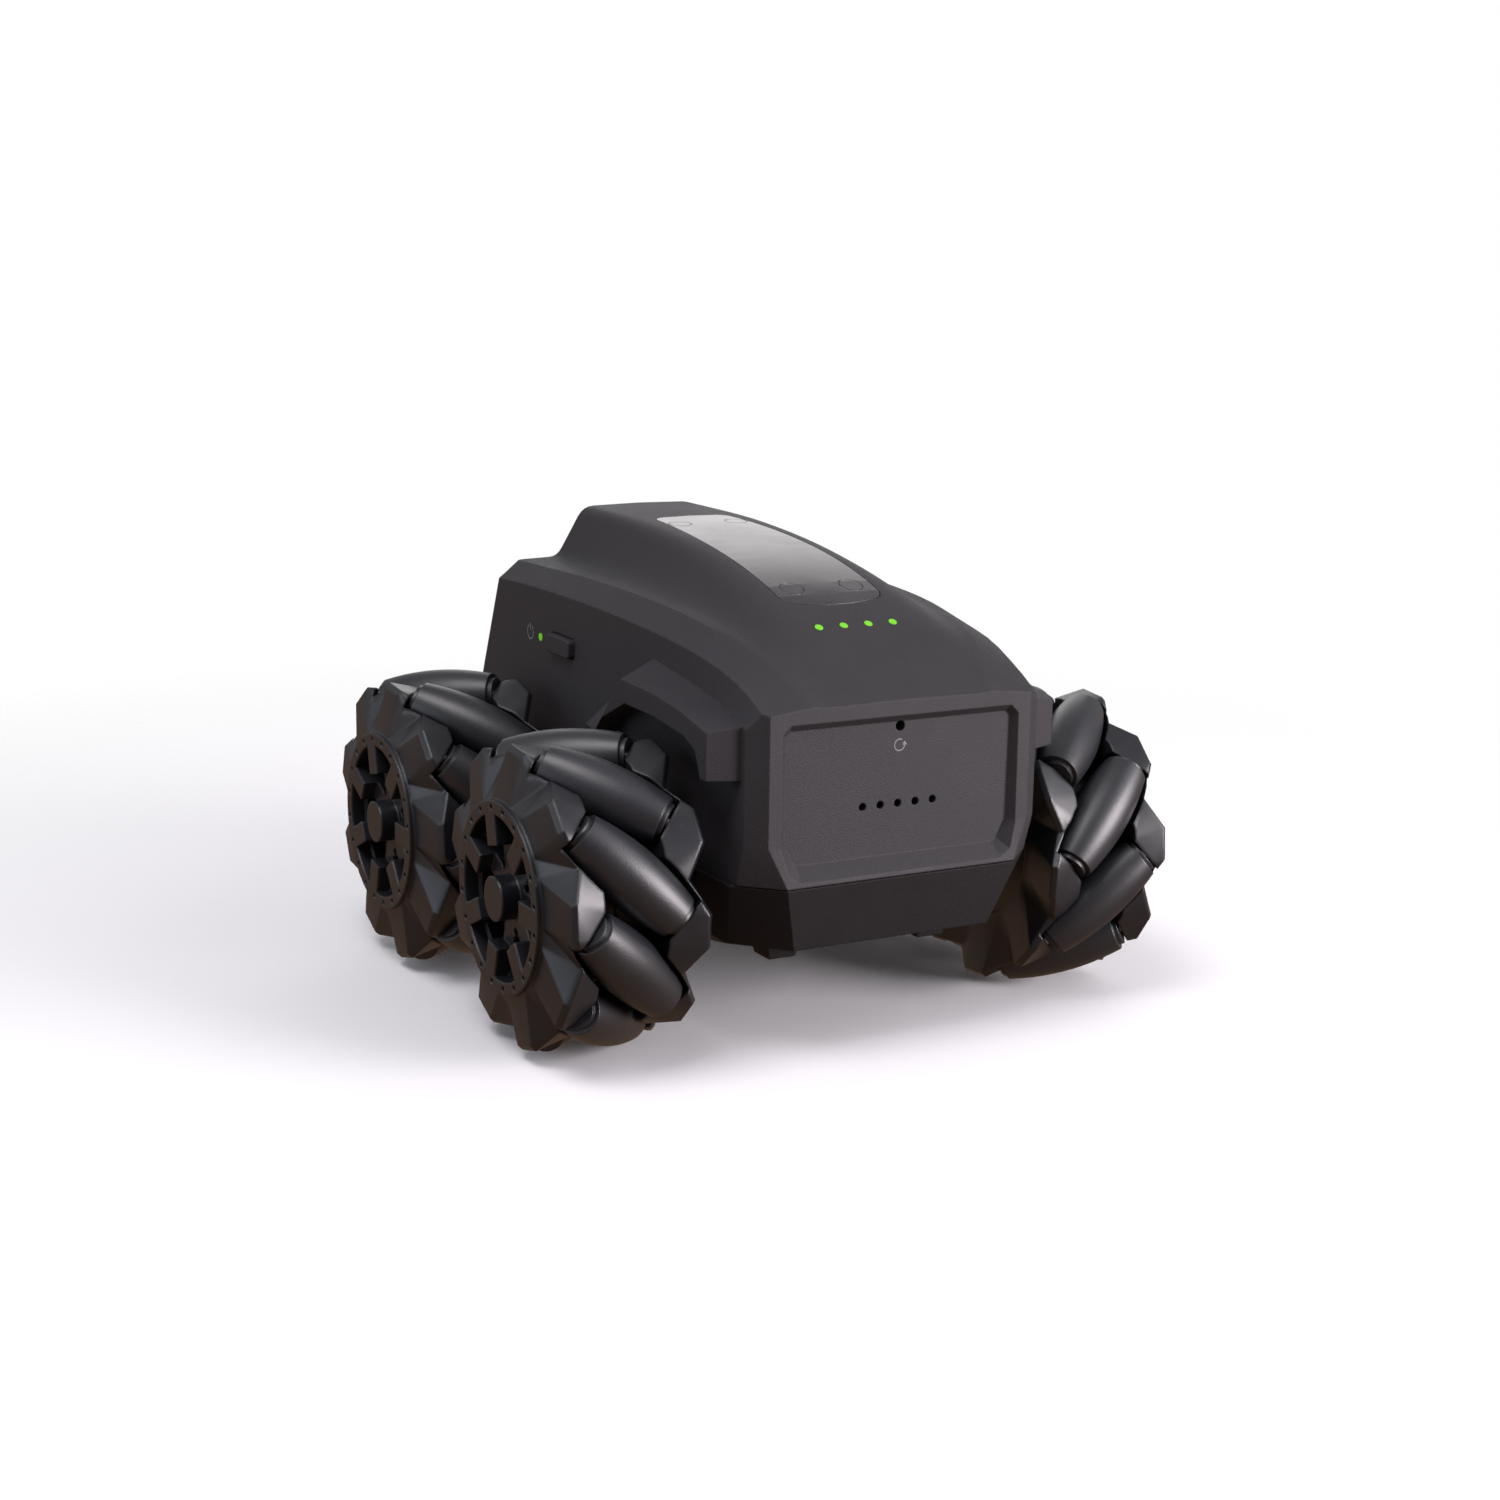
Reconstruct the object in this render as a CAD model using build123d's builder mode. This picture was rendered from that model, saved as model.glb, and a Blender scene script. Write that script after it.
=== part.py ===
"""Palm-size mecanum wheel robot: shells, spine lid, drive train and four nine-roller wheels.

Frame: +X forward (camera end), +Y to the robot's left (power button side), +Z up.
The origin is on the ground under the middle of the bounding box.
"""
from build123d import *
from math import cos, radians, sin, sqrt
import os

os.makedirs("parts", exist_ok=True)

# ---------------------------------------------------------------- driving dimensions (mm)
SPARE = 1.0  # how far a cut runs past the face that it opens
THROUGH = 20.0  # a cut longer than any wall on its way

AXLE_Z = 23.4  # axle height, equal to the rolling radius
AXLE_X = {"r": -27.0, "f": 21.4}
WHEEL_Y = 40.3  # middle plane of a wheel

ROLLERS = 9
ROLLER_PITCH = 360 / ROLLERS
ROLLER_PHASE = 20.0  # first roller, measured from the rearward direction
ROLLER_D = 18.9  # roller axis to wheel axis
ROLLER_HALF = 9.25
NECK_R = 2.7  # short neck between each roller end and the rim
NECK_HALF = 9.95
ROLLER_BORE_R = 0.86
PIN_R = 0.8
PIN_HALF = 12.2
PIN_FIT = 0.02
PIN_END_GAP = 0.1
POCKET_GAP = 0.45
POCKET_HALF = 10.3
POCKET_OPEN = 1.6  # each pocket is cut again this much further out
BARREL_STEPS = 4

RIM_TIP_R = 22.4
RIM_VALLEY_R = 20.8
RIM_CHAMFER = 0.7
RIM_INNER_Z = 5.0
RIM_TAPER = 1.2  # the lug tips fall by this much towards the rollers
LUG_SHIFT = 25.0  # lugs sit where the tilted roller axes leave the rim
LUG_HALF = 6.5
CROWN_HALF = 8.0
RING_R = 14.2
RING_Z = 12.2
RING_INNER_R = 12.2
WEB_Z = 9.8
WEB_T = 1.8
INNER_WEB_Z = (7.4, 9.2)
BOSS_R = 3.3
BOSS_Z = 12.8
DRUM_R = 13.7
DRUM_Z = 6.0
HUB_R = 4.2
INNER_HUB_Z = 10.4
SHAFT_R = 1.5
WINDOWS = 7
WINDOW_R = (5.9, 11.6)
SPOKE_W = 3.3
SPOKE_TOP_R = 7.6  # outside this radius the spokes rise to the ring's face
KEYHOLE_R = 0.7
KEYHOLE_AT = 5.3
RING_DOTS = 20
DOT_R = 0.5
DOT_SIDES = 6
DOT_DEPTH = 0.6
RUN_FIT = 0.05

SEAM_Z = 27.2  # parting line between the two shells
WALL = 1.6
SIDE_Y = 25.0
BELLY_Z = 14.2
SEAM_GAP = 0.2
SEAM_DEPTH = 0.5
LOFT_STEP = 4.0
CROWN_RISE = 0.2
FOOT_BLEND = (5.2, 0.8)  # spine foot rounding at the rear and front ends
EDGE_BLEND = (3.6, 1.5)  # spine edge rounding at the rear and front ends
BLEND_STEPS = 4
BLEND_LIMIT = 0.45  # a rounding uses at most this share of a side
KNEE_Z = 50.0  # the side wall is upright below this height
SECTION_LOW_Z = 10.0
SPINE_STEP = 0.2  # the spine's foot stands this much above the shoulder
SLOPE_INSET = 0.5  # share of an inset taken by the corners of sloping faces
CORNER_INSET = 0.45

PANEL_X = -50.3  # floor of the rear recess
PANEL_CORNERS = [(18.1, 49.5), (18.8, 48.8), (18.7, 33.2), (17.3, 30.4), (16.4, 29.9)]
PANEL_FLARE = 2.6  # the recess walls lean outward at 45 degrees
REAR_CUT = (-53.0, 6.0)  # start and length of the openings in the rear panel
PANEL_BACK = ((-50.6, -19.4, SEAM_Z), (-48.6, 19.4, 53.0))

LID_T = 0.9
LID_GAP = 0.12
GROOVE_T = 0.15
LID_X = (-30.8, 16.0)
LID_HALF_Y = (8.6, 6.6)  # rear and front half-width
PAD_X = (-27.2, 9.2)
PAD_Y = 5.1
PAD_R = 1.9
PAD_LINE = 0.14
LID_SIDE_BOW = 0.5
LID_REAR_BOW = 1.6
LID_CORNER_R = 2.2
SPINE_ZONE = (50.0, 30.0)  # start height and length of the cuts down through the spine

BUTTON_X = 10.7
BUTTON_Z = 51.8
BUTTON_L = 8.4
BUTTON_H = 3.1
BUTTON_PROUD = 1.1
BUTTON_GAP = 0.15
BUTTON_CORNER_R = 0.75
BUTTON_EDGE_R = 0.35
BUTTON_STEM = 0.3  # the stem reaches this far past the wall
FLANGE_GAP = 0.06
FLANGE_GROW = 1.6
FLANGE_T = 0.8
FLANGE_CORNER_R = 0.9
SIDE_CUT_L = 4.0
POWER_LED_X = 19.3
POWER_LED_Z = 51.8

STATUS_X = -37.4
STATUS_Y = (-6.3, -2.1, 2.1, 6.3)
LED_R = 0.65
LED_FIT = 0.02
LED_L = 2.6
STATUS_PROUD = 0.12
POWER_LED_PROUD = 0.1
STATUS_CUT = (3.0, 7.0)  # start above the surface and length of the light openings
CONTACT_Z = 37.4
CONTACT_PITCH = 2.96
CONTACT_R = 0.6
CONTACTS = 5
CONTACT_SET = 1.1
CONTACT_L = 1.8
CONTACT_FIT = 0.03
RESET_Z = 48.8
RESET_R = 0.75
CAMERA_Z = 57.5
WINDOW_W = 17.0
WINDOW_H = 11.0
WINDOW_T = 1.0
WINDOW_SET = 0.15
LENS_R = 3.6
LENS_L = 3.0
LENS_DISH_R = 2.2
LENS_DISH = 0.8
LENS_HOLE_R = 4.3
LENS_HOLE_L = 5.0
WINDOW_GAP = 0.15
WINDOW_CORNER_R = 2.85
CAMERA_GAP = 0.05
CAMERA_BOX = (11.0, 10.0, 4.0)
CAMERA_BOX_SET = 3.2
STATUS_NORMAL = Vector(-0.47, 0, 0.88)
STATUS_Z = 61.3
POSTS = [(-38.2, 12.9), (36.0, 12.9)]
POST_R = 2.4
PAD_FOOT_L = 5.6
PAD_FOOT_Z = 13.0
PAD_FOOT_TOP = 15.8
PAD_FOOT_TAPER = 12
BOARD_Z = 36.0
BOARD_T = 1.6
BOARD_X = -1.0
BOARD_SIZE = (84.0, 42.0)
BOARD_CORNER_R = 3.0
CHIPS = [(4, 0, 16, 16), (-18, 8, 9, 7), (-18, -8, 9, 7), (30, -12, 8, 10)]  # x, y, length, width
CHIP_T = 1.6
BATTERY_X = -2.8  # midway between the two axles
BATTERY_SIZE = (33.0, 40.0, 14.0)
BATTERY_GAP = 0.1
BATTERY_EDGE_R = 2.0
SCREW_R = 0.9
SCREW_HEAD_R = 1.9
SCREW_HEAD_T = 1.1
SCREW_L = 9.0
SCREW_HEAD_GAP = 0.15
SCREW_FIT = 0.03
HEX_R = 0.9
HEX_DEPTH = 0.7
FLOOR_Z = 15.9
TRAY_ZONE = ((-60.0, -40.0, FLOOR_Z), (60.0, 40.0, 40.0))
BUSH_R = 3.2
BUSH_Y = (22.0, 26.6)
BUSH_BORE = (20.0, 8.0)  # start and length of the shaft bore

MOTOR_R = 5.0
MOTOR_Y = (2.2, 13.0)
GEARBOX_Y = (13.0, 21.9)
SHAFT_END_Y = 17.5
SHAFT_END_GAP = 0.2
GEARBOX_H = 10.0
SHAFT_OUT = 9.0
SHAFT_BORE_L = 8.0
GEARBOX_L = 12.0
CRADLE_Y = (15.0, 21.0)
CRADLE_L = 9.0
CRADLE_ROOT = 0.5
# rim heights from the wheel middle plane: lug face, valley, crown
RIM_HEIGHTS = {1: (10.4, 8.4, 11.4), -1: (11.2, 8.8, 9.6)}
SCREW_SINK = 0.3

# body cross-sections: x, shoulder top (y, z), shoulder foot (y, z), side wall y,
# then the spine's top edge y, crown z and foot y
SECTIONS = [
    (56.0, 21.0, 61.0, 25.0, 57.6, 25.0, 9.4, 70.3, 12.3),
    (30.0, 21.0, 61.9, 25.0, 59.3, 25.0, 10.5, 70.6, 14.3),
    (8.0, 21.0, 62.6, 25.0, 59.8, 25.0, 10.9, 70.4, 16.0),
    (-11.3, 21.0, 62.5, 25.0, 59.6, 25.0, 11.1, 68.7, 17.0),
    (-26.0, 20.6, 61.6, 24.8, 58.9, 25.0, 11.6, 65.7, 17.3),
    (-36.3, 19.5, 59.9, 24.1, 57.6, 24.9, 12.4, 61.8, 17.0),
    (-43.8, 18.1, 57.3, 23.2, 55.5, 24.7, 13.4, 57.7, 16.2),
    (-51.0, 16.3, 52.9, 22.8, 52.2, 24.6, 13.4, 52.8, 14.8),
    (-56.0, 15.0, 49.4, 22.3, 49.0, 24.5, 13.0, 49.2, 13.8),
]
# plan outline of the body at three heights: z, rear x, rear y, corner x, front x, front y
PLAN = [
    (80.0, -51.0, 21.9, -48.0, 31.3, 20.0, 28.1),
    (61.1, -51.2, 21.9, -48.0, 38.2, 20.0, 35.0),
    (33.2, -51.5, 21.9, -48.0, 49.8, 20.0, 46.5),
    (SEAM_Z, -52.5, 19.2, -46.6, 52.5, 19.0, 48.2),
    (17.2, -50.0, 16.5, -42.5, 49.5, 16.0, 44.0),
    (BELLY_Z, -36.0, 13.5, -32.0, 40.0, 13.0, 36.0),
]
PLAN_SIDE_Y = [26.0, 26.0, 26.0, 25.4, 23.4, 20.0]
FENDER_FOOT = [(4.2, 40.5), (-21.6, 55.7), (-32.3, 54.0), (-42.3, 51.9), (-48.4, 50.4), (-48.4, 42.6)]
FENDER_EDGE = [(-10.5, 42.6), (-19.2, 52.2), (-30.2, 52.0), (-38.6, 51.1), (-46.5, 49.5), (-46.5, 42.6)]
FENDER_Y = 29.4
FENDER_ROOT_Y = 24.3
ARCH = [
    (-10.2, 38.0), (-10.8, 43.0), (-12.8, 45.1), (-20.7, 48.8), (-30.2, 48.7),
    (-39.6, 47.8), (-43.2, 46.4), (-44.7, 43.1), (-44.7, 38.0),
]


# ---------------------------------------------------------------- shared shapes
def yz_plane(x):
    """Plane at x whose sketch axes are the robot's Y and Z."""
    return Plane(origin=(x, 0, 0), x_dir=(0, 1, 0), z_dir=(1, 0, 0))


def rounded(before, corner, after, reach, steps):
    """Points that round one corner, reaching at most that far along both sides."""
    ends = []
    for other in (before, after):
        dy, dz = other[0] - corner[0], other[1] - corner[1]
        part = min(reach / sqrt(dy * dy + dz * dz), BLEND_LIMIT)
        ends.append((corner[0] + dy * part, corner[1] + dz * part))
    points = []
    for k in range(steps + 1):
        t = k / steps
        weights = ((1 - t) ** 2, 2 * t * (1 - t), t * t)
        axes = zip(ends[0], corner, ends[1])
        points.append(tuple(sum(w * v for w, v in zip(weights, axis)) for axis in axes))
    return points


def section_outline(row, inset, steps):
    """Outline of one body cross-section, shrunk by inset."""
    x, top_y, top_z, foot_y, foot_z, wall_y, edge_y, crown_z, spine_y = row
    rear_x, front_x = SECTIONS[-1][0], SECTIONS[0][0]
    along = (x - rear_x) / (front_x - rear_x)
    foot_reach, edge_reach = (rear + (front - rear) * along for rear, front in (FOOT_BLEND, EDGE_BLEND))
    wall = (wall_y - inset, KNEE_Z)
    shoulder_foot = (foot_y - inset, foot_z - inset * SLOPE_INSET)
    shoulder_top = (top_y - inset * SLOPE_INSET, top_z - inset)
    spine_foot = (spine_y - inset * SLOPE_INSET, top_z + SPINE_STEP - inset)
    spine_edge = (edge_y - inset * SLOPE_INSET, crown_z - inset)
    crown = (0.0, crown_z + CROWN_RISE - inset)
    half = [(wall_y - inset, SECTION_LOW_Z), wall, shoulder_foot, shoulder_top]
    half += rounded(shoulder_top, spine_foot, spine_edge, foot_reach, steps)
    half += rounded(spine_foot, spine_edge, crown, edge_reach, steps)
    return half + [crown] + [(-y, z) for y, z in reversed(half)]


def polyhedron(rings):
    """Closed solid from stacked closed rings of points, first and last ring planar."""
    faces = []
    for low, high in zip(rings[:-1], rings[1:]):
        count = len(low)
        for i in range(count):
            j = (i + 1) % count
            for corners in ((low[i], low[j], high[j]), (low[i], high[j], high[i])):
                faces.append(Face(Wire.make_polygon(corners, close=True)))
    for ring in (rings[0], rings[-1]):
        faces.append(Face(Wire.make_polygon(ring, close=True)))
    return Solid(Shell(faces))


def fair(rows, step):
    """Evenly spaced rows on the smooth curve through the given rows."""
    fine = [rows[0]]
    for i in range(len(rows) - 1):
        before, a, b, after = rows[max(i - 1, 0)], rows[i], rows[i + 1], rows[min(i + 2, len(rows) - 1)]
        span = b[0] - a[0]
        pieces = max(1, round(abs(span) / step))
        for k in range(1, pieces + 1):
            t = k / pieces
            row = [a[0] + span * t]
            for c in range(1, len(a)):
                slope_a = (b[c] - before[c]) / (b[0] - before[0]) * span
                slope_b = (after[c] - a[c]) / (after[0] - a[0]) * span
                value = (2 * t**3 - 3 * t**2 + 1) * a[c] + (t**3 - 2 * t**2 + t) * slope_a
                row.append(value + (3 * t**2 - 2 * t**3) * b[c] + (t**3 - t**2) * slope_b)
            fine.append(tuple(row))
    return fine


def section_solid(inset, steps):
    """Faceted solid through the faired cross-sections."""
    rings = []
    for row in fair(SECTIONS, LOFT_STEP):
        rings.append([(row[0], y, z) for y, z in section_outline(row, inset, steps)])
    return polyhedron(rings)


def plan_outline(level, side_y, inset):
    """Eight-sided plan outline of the body at one height, shrunk by inset."""
    z, rear_x, rear_y, corner_x, front_x, front_y, bend_x = level
    bevel = inset * CORNER_INSET
    left = [(rear_x + inset, rear_y - bevel), (corner_x + bevel, side_y - inset)]
    left += [(bend_x - bevel, side_y - inset), (front_x - inset, front_y - bevel)]
    return left + [(x, -y) for x, y in reversed(left)]


def plan_solid(first, last, inset):
    """Faceted body envelope between two of the listed heights."""
    rings = []
    for level, side_y in zip(PLAN[first:last + 1], PLAN_SIDE_Y[first:last + 1]):
        rings.append([(x, y, level[0]) for x, y in plan_outline(level, side_y, inset)])
    return polyhedron(rings)


def prism_y(points, y_from, y_to):
    """Prism along Y from points given as (x, z)."""
    with BuildPart() as prism:
        with BuildSketch(Plane(origin=(0, y_from, 0), x_dir=(1, 0, 0), z_dir=(0, -1, 0))):
            Polygon(*points, align=None)
        extrude(amount=y_from - y_to)
    return prism.part


def box_between(low, high):
    """Box given by two opposite corners."""
    size = [b - a for a, b in zip(low, high)]
    middle = [(a + b) / 2 for a, b in zip(low, high)]
    with BuildPart() as block:
        with Locations(tuple(middle)):
            Box(*size)
    return block.part


def both_sides(shape):
    """The shape and its mirror image across the robot's middle plane."""
    return [shape, mirror(shape, about=Plane.XZ)]


# ---------------------------------------------------------------- body envelope
def body_solid(inset, steps):
    """Upper body: cross-sections cut to the plan envelope, shrunk by inset."""
    with BuildPart() as body:
        add(section_solid(inset, steps))
        add(plan_solid(0, 3, inset), mode=Mode.INTERSECT)
    return body.part


def cradle_corners(x, side):
    """Corners of the cradle block under one gearbox."""
    inner, outer = sorted(side * y for y in CRADLE_Y)
    low, high = FLOOR_Z - CRADLE_ROOT, AXLE_Z - GEARBOX_H / 2
    return (x - CRADLE_L / 2, inner, low), (x + CRADLE_L / 2, outer, high)


def lid_outline(grow):
    """Plan outline of the spine lid, grown by a clearance."""
    rear, front = LID_X[0] - grow, LID_X[1] + grow
    rear_y, front_y = (half + grow for half in LID_HALF_Y)
    mid_x = (rear + front) / 2
    mid_y = (rear_y + front_y) / 2 + LID_SIDE_BOW
    with BuildSketch() as outline:
        with BuildLine():
            Polyline((front, front_y), (front, -front_y))
            ThreePointArc((front, -front_y), (mid_x, -mid_y), (rear, -rear_y))
            ThreePointArc((rear, -rear_y), (rear - LID_REAR_BOW, 0), (rear, rear_y))
            ThreePointArc((rear, rear_y), (mid_x, mid_y), (front, front_y))
        make_face()
        fillet(outline.vertices(), radius=LID_CORNER_R + grow)
    return outline.sketch


def fender_block():
    """Left wheel-arch fender: flat outer face blending back to the side wall, arch cut out."""
    with BuildPart() as fender:
        for points, y in ((FENDER_FOOT, FENDER_ROOT_Y), (FENDER_EDGE, FENDER_Y)):
            with BuildSketch(Plane(origin=(0, y, 0), x_dir=(1, 0, 0), z_dir=(0, -1, 0))):
                Polygon(*points, align=None)
        loft(ruled=True)
        add(prism_y(ARCH, SIDE_Y, FENDER_Y + SPARE), mode=Mode.SUBTRACT)
    return fender.part


def front_plane(height, lift):
    """Plane lying on the sloping front face, centred at the given height."""
    run = (PLAN[2][4] - PLAN[1][4]) / (PLAN[1][0] - PLAN[2][0])
    x = PLAN[1][4] + (PLAN[1][0] - height) * run
    normal = Vector(1, 0, run).normalized()
    origin = Vector(x, 0, height) + normal * lift
    return Plane(origin=origin, x_dir=(0, 1, 0), z_dir=normal)


# ---------------------------------------------------------------- skins used by shell and lid
outer_body = body_solid(0, BLEND_STEPS)
lid_skin = outer_body - body_solid(LID_T, BLEND_STEPS)

with BuildPart() as lid_zone:
    with BuildSketch(Plane.XY.offset(SPINE_ZONE[0])):
        add(lid_outline(0))
    extrude(amount=SPINE_ZONE[1])

with BuildPart() as lid_pocket:
    with BuildSketch(Plane.XY.offset(SPINE_ZONE[0])):
        add(lid_outline(LID_GAP))
    extrude(amount=SPINE_ZONE[1])

# ---------------------------------------------------------------- spine lid
with BuildPart() as pad_rings:
    with BuildSketch(Plane.XY.offset(SPINE_ZONE[0])):
        with Locations(*[(x, y) for x in PAD_X for y in (PAD_Y, -PAD_Y)]):
            Circle(PAD_R)
            Circle(PAD_R - PAD_LINE, mode=Mode.SUBTRACT)
    extrude(amount=SPINE_ZONE[1])

groove_skin = outer_body - body_solid(GROOVE_T, BLEND_STEPS)

with BuildPart() as top_lid:
    add(lid_skin & lid_zone.part)
    add(groove_skin & pad_rings.part, mode=Mode.SUBTRACT)
top_lid.part.label = "top_lid"

# ---------------------------------------------------------------- upper shell
with BuildPart() as rear_recess:
    for flare in (0.0, PANEL_FLARE):
        with BuildSketch(yz_plane(PANEL_X - flare)):
            Polygon(*PANEL_CORNERS, *[(-y, z) for y, z in reversed(PANEL_CORNERS)], align=None)
            if flare:
                offset(amount=flare, kind=Kind.INTERSECTION)
    loft(ruled=True)

status_plane = Plane(origin=(STATUS_X, 0, STATUS_Z), x_dir=(0, 1, 0), z_dir=STATUS_NORMAL)

with BuildPart() as upper_shell:
    add(outer_body)
    for fender in both_sides(fender_block()):
        add(fender)
    add(body_solid(WALL, 1), mode=Mode.SUBTRACT)
    add(box_between(*PANEL_BACK) & outer_body)
    add(rear_recess.part, mode=Mode.SUBTRACT)
    add(lid_skin & lid_pocket.part, mode=Mode.SUBTRACT)
    with BuildSketch(yz_plane(REAR_CUT[0])):
        with Locations((0, RESET_Z)):
            Circle(RESET_R)
        with GridLocations(CONTACT_PITCH, 1, CONTACTS, 1):
            with Locations((0, CONTACT_Z)):
                Circle(CONTACT_R)
    extrude(amount=REAR_CUT[1], mode=Mode.SUBTRACT)
    with BuildSketch(status_plane.offset(STATUS_CUT[0])):
        with Locations(*[(y, 0) for y in STATUS_Y]):
            Circle(LED_R)
    extrude(amount=-STATUS_CUT[1], mode=Mode.SUBTRACT)
    with BuildSketch(Plane.XZ.offset(-SIDE_Y - SPARE)):
        with Locations((BUTTON_X, BUTTON_Z)):
            hole_l, hole_h = BUTTON_L + 2 * BUTTON_GAP, BUTTON_H + 2 * BUTTON_GAP
            RectangleRounded(hole_l, hole_h, BUTTON_CORNER_R + BUTTON_GAP)
        with Locations((POWER_LED_X, POWER_LED_Z)):
            Circle(LED_R)
    extrude(amount=SIDE_CUT_L, mode=Mode.SUBTRACT)
    with BuildSketch(front_plane(CAMERA_Z, SPARE)):
        RectangleRounded(WINDOW_W + 2 * WINDOW_GAP, WINDOW_H + 2 * WINDOW_GAP, WINDOW_CORNER_R + WINDOW_GAP)
    extrude(amount=-SPARE - WINDOW_T - WINDOW_SET, mode=Mode.SUBTRACT)
    with BuildSketch(front_plane(CAMERA_Z, SPARE)):
        Circle(LENS_HOLE_R)
    extrude(amount=-LENS_HOLE_L, mode=Mode.SUBTRACT)
upper_shell.part.label = "upper_shell"

# ---------------------------------------------------------------- lower shell
with BuildPart() as lower_shell:
    add(plan_solid(3, 5, 0))
    add(plan_solid(3, 5, WALL) & box_between(*TRAY_ZONE), mode=Mode.SUBTRACT)
    with BuildSketch(Plane.XY.offset(SEAM_Z - SEAM_GAP)):
        Polygon(*plan_outline(PLAN[3], PLAN_SIDE_Y[3], -SPARE), align=None)
        Polygon(*plan_outline(PLAN[3], PLAN_SIDE_Y[3], SEAM_DEPTH), align=None, mode=Mode.SUBTRACT)
    extrude(amount=SEAM_GAP, mode=Mode.SUBTRACT)
    for x, y in POSTS:
        with BuildSketch(Plane.XY.offset(PAD_FOOT_TOP)):
            with Locations((x, y), (x, -y)):
                Rectangle(PAD_FOOT_L, PAD_FOOT_L)
        extrude(amount=PAD_FOOT_Z - PAD_FOOT_TOP, taper=PAD_FOOT_TAPER)
        with BuildSketch(Plane.XY.offset(PAD_FOOT_TOP)):
            with Locations((x, y), (x, -y)):
                Circle(POST_R)
        extrude(amount=BOARD_Z - PAD_FOOT_TOP)
    for x in AXLE_X.values():
        for side in (1, -1):
            with BuildSketch(Plane.XZ.offset(-side * BUSH_Y[0])):
                with Locations((x, AXLE_Z)):
                    Circle(BUSH_R)
            extrude(amount=-side * (BUSH_Y[1] - BUSH_Y[0]))
            with BuildSketch(Plane.XZ.offset(-side * BUSH_BORE[0])):
                with Locations((x, AXLE_Z)):
                    Circle(SHAFT_R + RUN_FIT)
            extrude(amount=-side * BUSH_BORE[1], mode=Mode.SUBTRACT)
            add(box_between(*cradle_corners(x, side)))
    for x, y in POSTS:
        with BuildSketch(Plane.XY.offset(PAD_FOOT_Z)):
            with Locations((x, y), (x, -y)):
                Circle(SCREW_R)
        extrude(amount=SCREW_SINK + SCREW_L + 2 * SPARE, mode=Mode.SUBTRACT)
        with BuildSketch(Plane.XY.offset(PAD_FOOT_Z)):
            with Locations((x, y), (x, -y)):
                Circle(SCREW_HEAD_R + SCREW_HEAD_GAP)
        extrude(amount=SCREW_SINK + SCREW_HEAD_T, mode=Mode.SUBTRACT)
lower_shell.part.label = "lower_shell"

# ---------------------------------------------------------------- power button
with BuildPart() as power_button:
    with BuildSketch(Plane.XZ.offset(-SIDE_Y - BUTTON_PROUD)):
        with Locations((BUTTON_X, BUTTON_Z)):
            RectangleRounded(BUTTON_L, BUTTON_H, BUTTON_CORNER_R)
    extrude(amount=BUTTON_PROUD + WALL + BUTTON_STEM)
    fillet(power_button.faces().sort_by(Axis.Y)[-1].edges(), radius=BUTTON_EDGE_R)
    with BuildSketch(Plane.XZ.offset(-SIDE_Y + WALL + FLANGE_GAP)):
        with Locations((BUTTON_X, BUTTON_Z)):
            RectangleRounded(BUTTON_L + FLANGE_GROW, BUTTON_H + FLANGE_GROW, FLANGE_CORNER_R)
    extrude(amount=FLANGE_T)
power_button.part.label = "power_button"

# ---------------------------------------------------------------- lights and contacts
with BuildPart() as status_lights:
    with BuildSketch(status_plane.offset(STATUS_PROUD)):
        with Locations(*[(y, 0) for y in STATUS_Y]):
            Circle(LED_R - LED_FIT)
    extrude(amount=-LED_L)
    with BuildSketch(Plane.XZ.offset(-SIDE_Y - POWER_LED_PROUD)):
        with Locations((POWER_LED_X, POWER_LED_Z)):
            Circle(LED_R - LED_FIT)
    extrude(amount=LED_L)
status_lights.part.label = "status_lights"

with BuildPart() as charge_contacts:
    with BuildSketch(yz_plane(PANEL_X + CONTACT_SET)):
        with GridLocations(CONTACT_PITCH, 1, CONTACTS, 1):
            with Locations((0, CONTACT_Z)):
                Circle(CONTACT_R - CONTACT_FIT)
    extrude(amount=CONTACT_L)
charge_contacts.part.label = "charge_contacts"

# ---------------------------------------------------------------- camera
with BuildPart() as camera_window:
    with BuildSketch(front_plane(CAMERA_Z, -WINDOW_SET)):
        RectangleRounded(WINDOW_W, WINDOW_H, WINDOW_CORNER_R)
    extrude(amount=-WINDOW_T)
camera_window.part.label = "camera_window"

with BuildPart() as camera_module:
    with BuildSketch(front_plane(CAMERA_Z, -WINDOW_SET - WINDOW_T - CAMERA_GAP)):
        Circle(LENS_R)
    extrude(amount=-LENS_L)
    with BuildSketch(front_plane(CAMERA_Z, -CAMERA_BOX_SET)):
        Rectangle(*CAMERA_BOX[:2])
    extrude(amount=-CAMERA_BOX[2])
    with BuildSketch(front_plane(CAMERA_Z, -WINDOW_SET - WINDOW_T - CAMERA_GAP)):
        Circle(LENS_DISH_R)
    extrude(amount=-LENS_DISH, mode=Mode.SUBTRACT)
camera_module.part.label = "camera_module"

# ---------------------------------------------------------------- electronics and drive
with BuildPart() as circuit_board:
    with BuildSketch(Plane.XY.offset(BOARD_Z)):
        with Locations((BOARD_X, 0)):
            RectangleRounded(*BOARD_SIZE, BOARD_CORNER_R)
    extrude(amount=BOARD_T)
    with BuildSketch(Plane.XY.offset(BOARD_Z + BOARD_T)):
        for x, y, length, width in CHIPS:
            with Locations((x, y)):
                Rectangle(length, width)
    extrude(amount=CHIP_T)
circuit_board.part.label = "circuit_board"

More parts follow.
